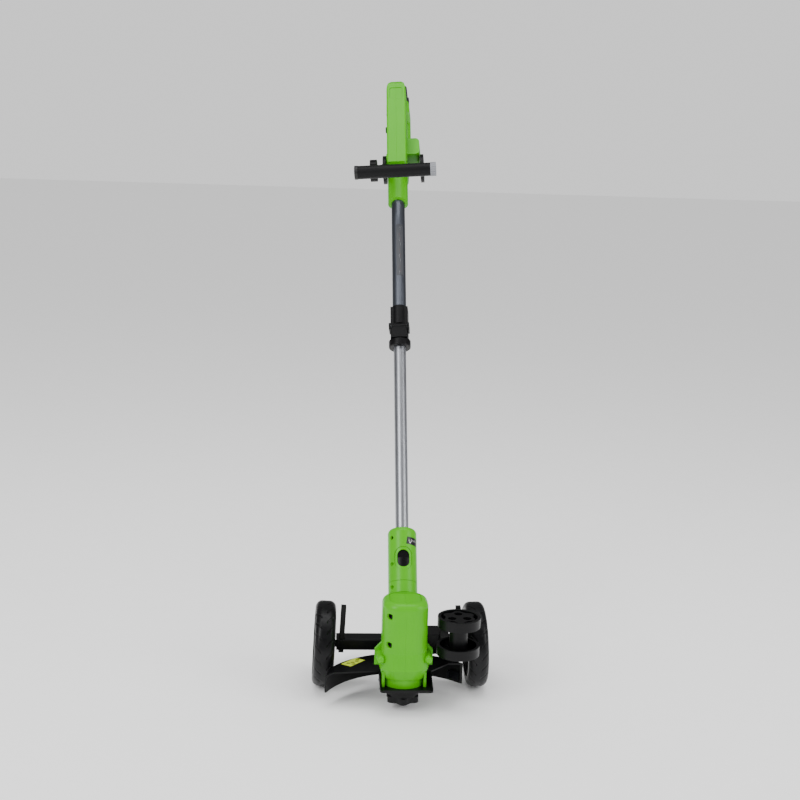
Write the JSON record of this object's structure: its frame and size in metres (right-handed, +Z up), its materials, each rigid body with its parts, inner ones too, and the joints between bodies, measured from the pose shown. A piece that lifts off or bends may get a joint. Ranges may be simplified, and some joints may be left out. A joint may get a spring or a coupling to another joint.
{
  "type": "lawn edger",
  "caption": "Cordless lawn edger: wheeled line-cutting head with guard on a telescopic, swivelling pole with a battery loop handle and a tilting front handle.",
  "frame": {"origin": "middle of the rear hand grip", "axes": "+Z up in the pose in which the tool stands on its wheels, +Y from the cutting head back to the user, +X to the right seen from the front"},
  "size_m": [0.2938, 0.7456, 1.0269],
  "materials": {
    "green_shell": "satin lime-green ABS",
    "black_shell": "black glass-filled nylon",
    "black_grip": "black soft grip rubber",
    "grey_plastic": "grey moulded plastic",
    "tyre": "moulded black tyre rubber",
    "upper_aluminium": "satin grey anodised tube",
    "lower_aluminium": "satin silver anodised tube",
    "steel": "bright zinc-plated steel",
    "copper": "copper-coloured washer",
    "cells": "shrink-wrapped cells"
  },
  "bodies": {
    "handle": {"handle_shell_left": "green_shell", "handle_shell_right": "green_shell", "handle_screws": "steel", "switch_module": "grey_plastic", "terminal_block": "grey_plastic", "upper_tube": "upper_aluminium", "clamp_collar": "black_shell", "lever_pin": "steel", "aux_bolt": "steel"},
    "trigger": {"trigger": "black_shell"},
    "lock_button": {"lock_button": "black_shell"},
    "aux_handle": {"aux_frame": "black_shell", "aux_grip": "black_grip", "aux_end_caps": "grey_plastic"},
    "aux_knob": {"aux_knob": "black_shell"},
    "battery": {"battery_case": "black_shell", "battery_lid": "black_shell", "battery_cells": "cells"},
    "battery_latch_left": {"battery_latch_left": "black_shell"},
    "battery_latch_right": {"battery_latch_right": "black_shell"},
    "clamp_lever": {"clamp_lever": "black_shell"},
    "lower_pole": {"lower_tube": "lower_aluminium", "neck_shell_left": "green_shell", "neck_shell_right": "green_shell", "neck_screws": "steel", "coiled_lead": "black_shell"},
    "swivel_button": {"swivel_button": "black_shell"},
    "swivel": {"swivel_collar": "green_shell", "tilt_tongue": "black_shell", "tilt_pin": "steel", "collar_screw": "steel"},
    "head": {"motor_shell_left": "green_shell", "motor_shell_right": "green_shell", "motor_screws": "steel", "base_ring": "green_shell", "motor_can": "steel", "upper_bearing": "steel", "lower_bearing": "steel", "guard": "black_shell", "guard_screws": "steel", "line_cutter": "steel", "crossbar": "black_shell", "crossbar_bracket": "black_shell", "spool_carrier": "black_shell", "spare_spool": "black_shell"},
    "spindle": {"armature_shaft": "steel", "drive_washer": "copper", "spool_housing": "black_shell", "spool_drum": "grey_plastic", "spool_cap": "black_shell"},
    "left_post": {"left_axle_post": "black_shell"},
    "right_post": {"right_axle_post": "black_shell"},
    "left_wheel": {"left_rim": "black_shell", "left_tyre": "tyre"},
    "right_wheel": {"right_rim": "black_shell", "right_tyre": "tyre"}
  },
  "joints": [
    {"name": "trigger_pull", "type": "hinge", "parent": "handle", "child": "trigger", "pos_m": [0.0025, 0.00751, -0.02074], "axis": [0.9903, -0.1154, 0.0778], "range_deg": [0, 5], "stiffness_Nm_per_rad": 0.5, "springref_deg": -5.73},
    {"name": "lock_off_press", "type": "slide", "parent": "handle", "child": "lock_button", "axis": [0.9903, -0.1154, 0.0778], "range_m": [0, 0.003], "stiffness_N_per_m": 300, "springref_m": -0.002},
    {"name": "aux_handle_tilt", "type": "hinge", "parent": "handle", "child": "aux_handle", "pos_m": [0.0039, -0.02678, -0.08929], "axis": [0.9903, -0.1154, 0.0778], "range_deg": [-45, 25]},
    {"name": "aux_knob_turn", "type": "hinge", "parent": "handle", "child": "aux_knob", "pos_m": [-0.04066, -0.02159, -0.09279], "axis": [0.9903, -0.1154, 0.0778], "continuous": true},
    {"name": "battery_slide", "type": "slide", "parent": "handle", "child": "battery", "axis": [0, 0.5592, 0.829], "range_m": [0, 0.06]},
    {"name": "battery_latch_left_press", "type": "slide", "parent": "battery", "child": "battery_latch_left", "axis": [0.9903, -0.1154, 0.0778], "range_m": [0, 0.002], "stiffness_N_per_m": 300, "springref_m": -0.002},
    {"name": "battery_latch_right_press", "type": "slide", "parent": "battery", "child": "battery_latch_right", "axis": [-0.9903, 0.1154, -0.0778], "range_m": [0, 0.002], "stiffness_N_per_m": 300, "springref_m": -0.002},
    {"name": "clamp_lever_open", "type": "hinge", "parent": "handle", "child": "clamp_lever", "pos_m": [-0.00153, -0.25899, -0.36449], "axis": [0.9903, -0.1154, 0.0778], "range_deg": [-100, 0]},
    {"name": "pole_slide", "type": "slide", "parent": "handle", "child": "lower_pole", "axis": [0, 0.5592, 0.829], "range_m": [-0.02, 0.18]},
    {"name": "swivel_button_press", "type": "slide", "parent": "lower_pole", "child": "swivel_button", "axis": [0, 0.829, -0.5592], "range_m": [0, 0.002], "stiffness_N_per_m": 300, "springref_m": -0.002},
    {"name": "head_swivel", "type": "hinge", "parent": "lower_pole", "child": "swivel", "pos_m": [0.00084, -0.50674, -0.76189], "axis": [0, 0.5592, 0.829], "range_deg": [0, 180]},
    {"name": "head_tilt", "type": "hinge", "parent": "swivel", "child": "head", "pos_m": [0.00084, -0.51974, -0.79709], "axis": [1, 0, 0], "range_deg": [0, 55]},
    {"name": "spindle_spin", "type": "hinge", "parent": "head", "child": "spindle", "pos_m": [0.00084, -0.57374, -0.91009], "axis": [0, 0, 1], "continuous": true},
    {"name": "left_height", "type": "slide", "parent": "head", "child": "left_post", "axis": [0.0419, 0, 0.9991], "range_m": [-0.045, 0]},
    {"name": "right_height", "type": "slide", "parent": "head", "child": "right_post", "axis": [-0.0419, 0, 0.9991], "range_m": [-0.045, 0]},
    {"name": "left_wheel_spin", "type": "hinge", "parent": "left_post", "child": "left_wheel", "pos_m": [-0.12658, -0.47874, -0.87588], "axis": [0.9991, 0, -0.0419], "continuous": true},
    {"name": "right_wheel_spin", "type": "hinge", "parent": "right_post", "child": "right_wheel", "pos_m": [0.12825, -0.47874, -0.87588], "axis": [0.9991, 0, 0.0419], "continuous": true}
  ]
}
